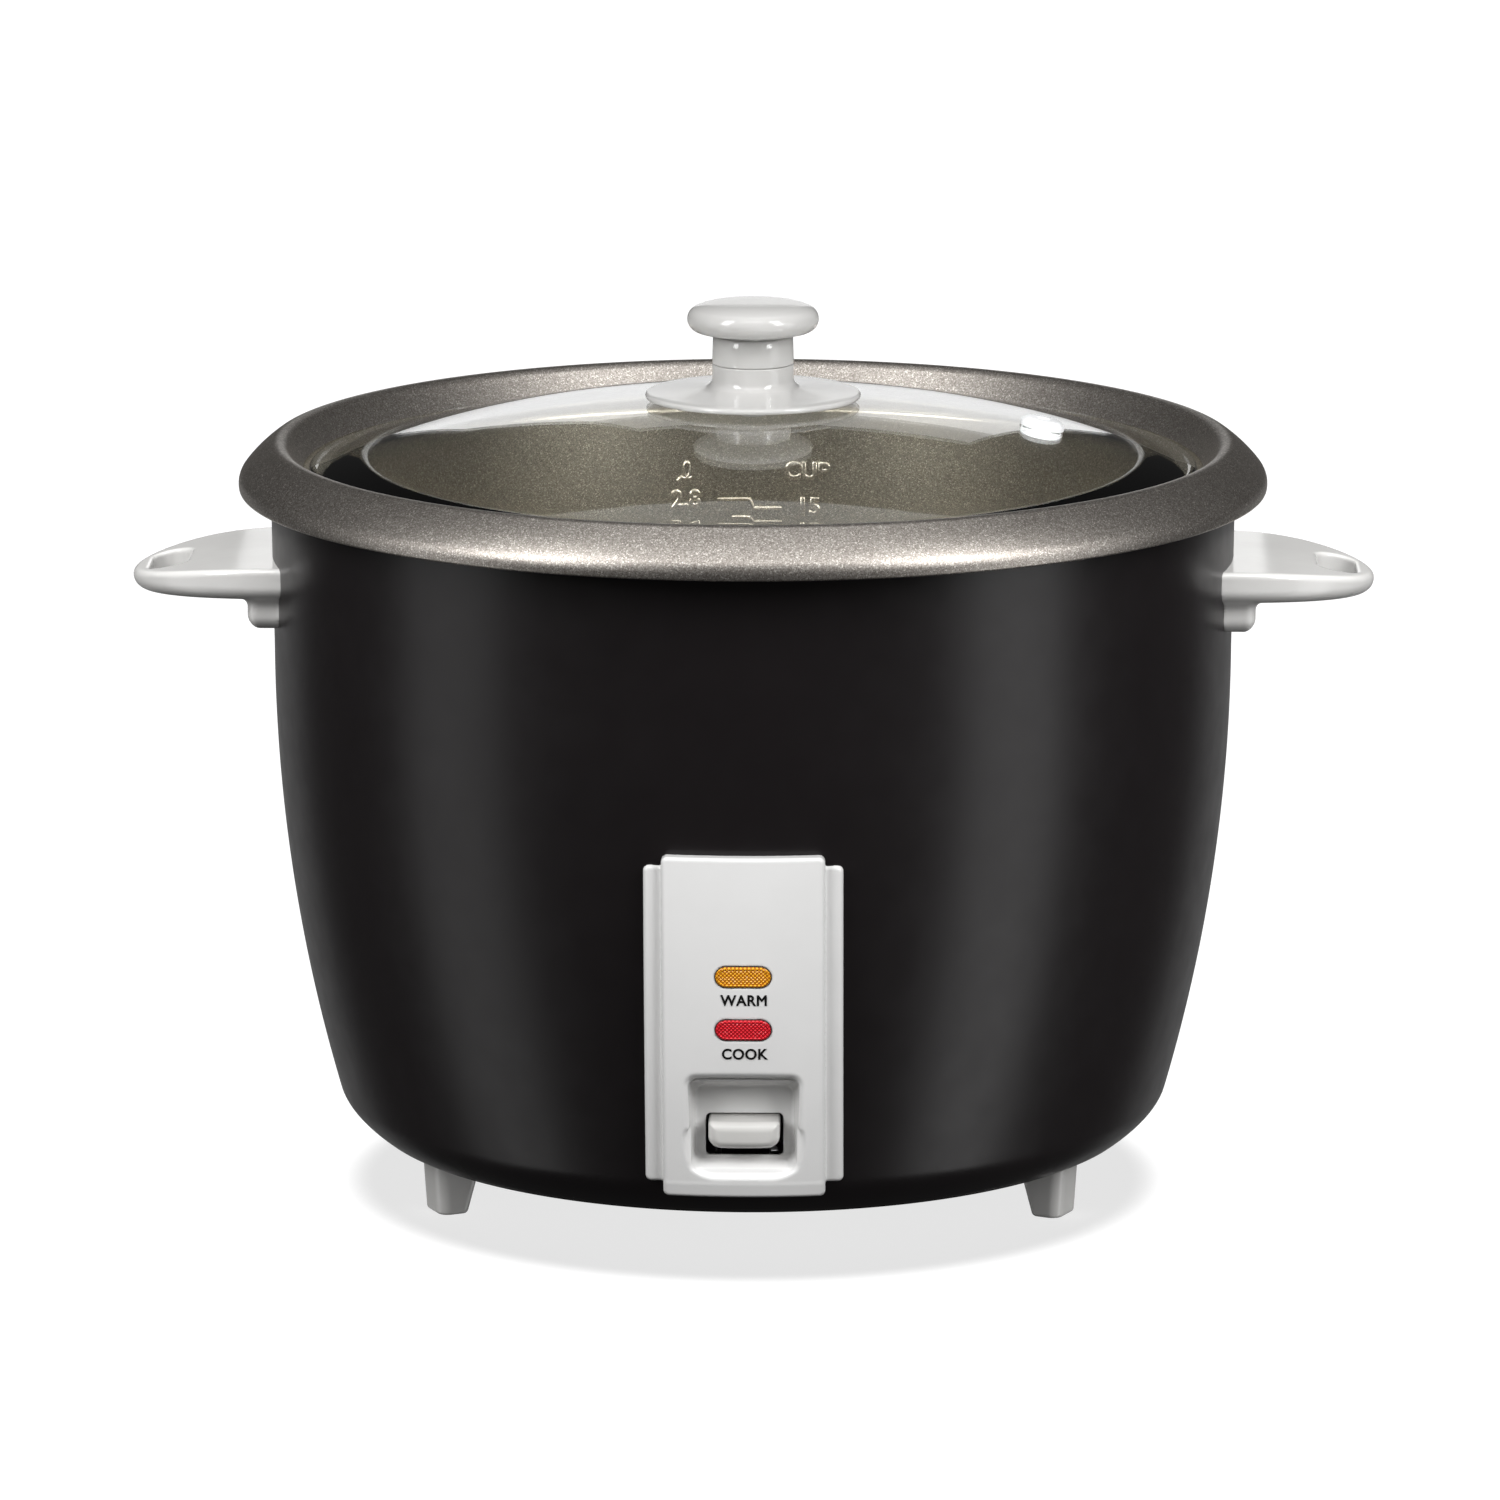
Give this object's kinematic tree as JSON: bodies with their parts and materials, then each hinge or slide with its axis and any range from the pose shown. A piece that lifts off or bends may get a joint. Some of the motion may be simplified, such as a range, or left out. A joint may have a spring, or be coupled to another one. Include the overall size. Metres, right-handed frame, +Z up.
{
  "type": "rice cooker",
  "caption": "Drum rice cooker with a lift-out non-stick pot, a domed glass lid, two side handles and a front panel with a cook lever and two lamps.",
  "frame": {"origin": "centre of the bounding box at table height, under the axis of the pot and body", "axes": "+Z up, front panel faces -Y, handles along X"},
  "size_m": [0.371, 0.3066, 0.2681],
  "materials": {
    "black_enamel": "satin paint",
    "grey_plastic": "moulded, glossy",
    "white_plastic": "moulded, glossy",
    "dark_plastic": "moulded, matte",
    "red_plastic": "moulded",
    "steel": "plated sheet and wire",
    "cast_aluminium": "cast and turned",
    "heater_tube": "heat-darkened tube",
    "ferrite": "sintered",
    "lamp_glass": "clear tube",
    "ceramic": "unglazed ceramic",
    "wire_sleeve": "glass-fibre sleeve",
    "amber_lens": "moulded, prismatic",
    "red_lens": "moulded, prismatic",
    "pot_coating": "non-stick coating with metal flake",
    "lid_glass": "tempered, polished edge",
    "silicone": "translucent silicone"
  },
  "bodies": {
    "base": {"outer_body": "black_enamel", "base_plate": "steel", "feet": "grey_plastic", "foot_screws": "steel", "inner_liner": "steel", "heating_plate": "cast_aluminium", "heating_element": "heater_tube", "plate_screws": "steel", "thermostat_bracket": "steel", "thermostat_screws": "steel", "sensor_spring": "steel", "lever_pin": "steel", "switch_bracket": "steel", "bracket_screws": "steel", "micro_switch": "dark_plastic", "indicator_lamps": "lamp_glass", "thermal_fuse": "ceramic", "fuse_clip": "steel", "warm_resistor": "ceramic", "terminal_block": "ceramic", "terminal_screws": "steel", "lead_wires": "wire_sleeve", "cord_gland": "dark_plastic", "control_panel": "grey_plastic", "panel_screws": "steel", "amber_lens": "amber_lens", "red_lens": "red_lens", "handle_left": "grey_plastic", "handle_right": "grey_plastic", "handle_screws": "steel"},
    "sensor": {"sensor_cap": "cast_aluminium", "ferrite_ring": "ferrite", "magnet_spring": "steel"},
    "magnet": {"magnet": "ferrite", "magnet_rod": "steel"},
    "lever": {"lever_arm": "steel", "lever_button": "white_plastic"},
    "plunger": {"switch_plunger": "red_plastic"},
    "pot": {"inner_pot": "pot_coating"},
    "lid": {"lid_glass": "lid_glass", "vent_grommet": "silicone", "knob": "grey_plastic", "knob_base": "grey_plastic", "knob_screw": "steel", "knob_washer": "silicone"}
  },
  "joints": [
    {"name": "pot_lift", "type": "slide", "parent": "base", "child": "pot", "axis": [0, 0, 1], "range_m": [0, 0.17]},
    {"name": "lid_lift", "type": "slide", "parent": "pot", "child": "lid", "axis": [0, 0, 1], "range_m": [0, 0.1]},
    {"name": "cook_lever", "type": "hinge", "parent": "base", "child": "lever", "pos_m": [0, -0.07, 0.0447], "axis": [1, 0, 0], "range_deg": [0, 4.4]},
    {"name": "sensor_press", "type": "slide", "parent": "base", "child": "sensor", "axis": [0, 0, 1], "range_m": [-0.0015, 0], "stiffness_N_per_m": 400, "springref_m": 0.006, "deforming": ["sensor_spring"]},
    {"name": "magnet_lift", "type": "slide", "parent": "sensor", "child": "magnet", "axis": [0, 0, 1], "range_m": [0, 0.0054], "deforming": ["magnet_spring"]},
    {"name": "plunger_press", "type": "slide", "parent": "base", "child": "plunger", "axis": [0, 0, -1], "range_m": [0, 0.00209]}
  ],
  "couplings": [
    {"joint": "magnet_lift", "follows": "cook_lever", "m_per_rad": 0.07},
    {"joint": "plunger_press", "follows": "cook_lever", "m_per_rad": 0.027}
  ]
}
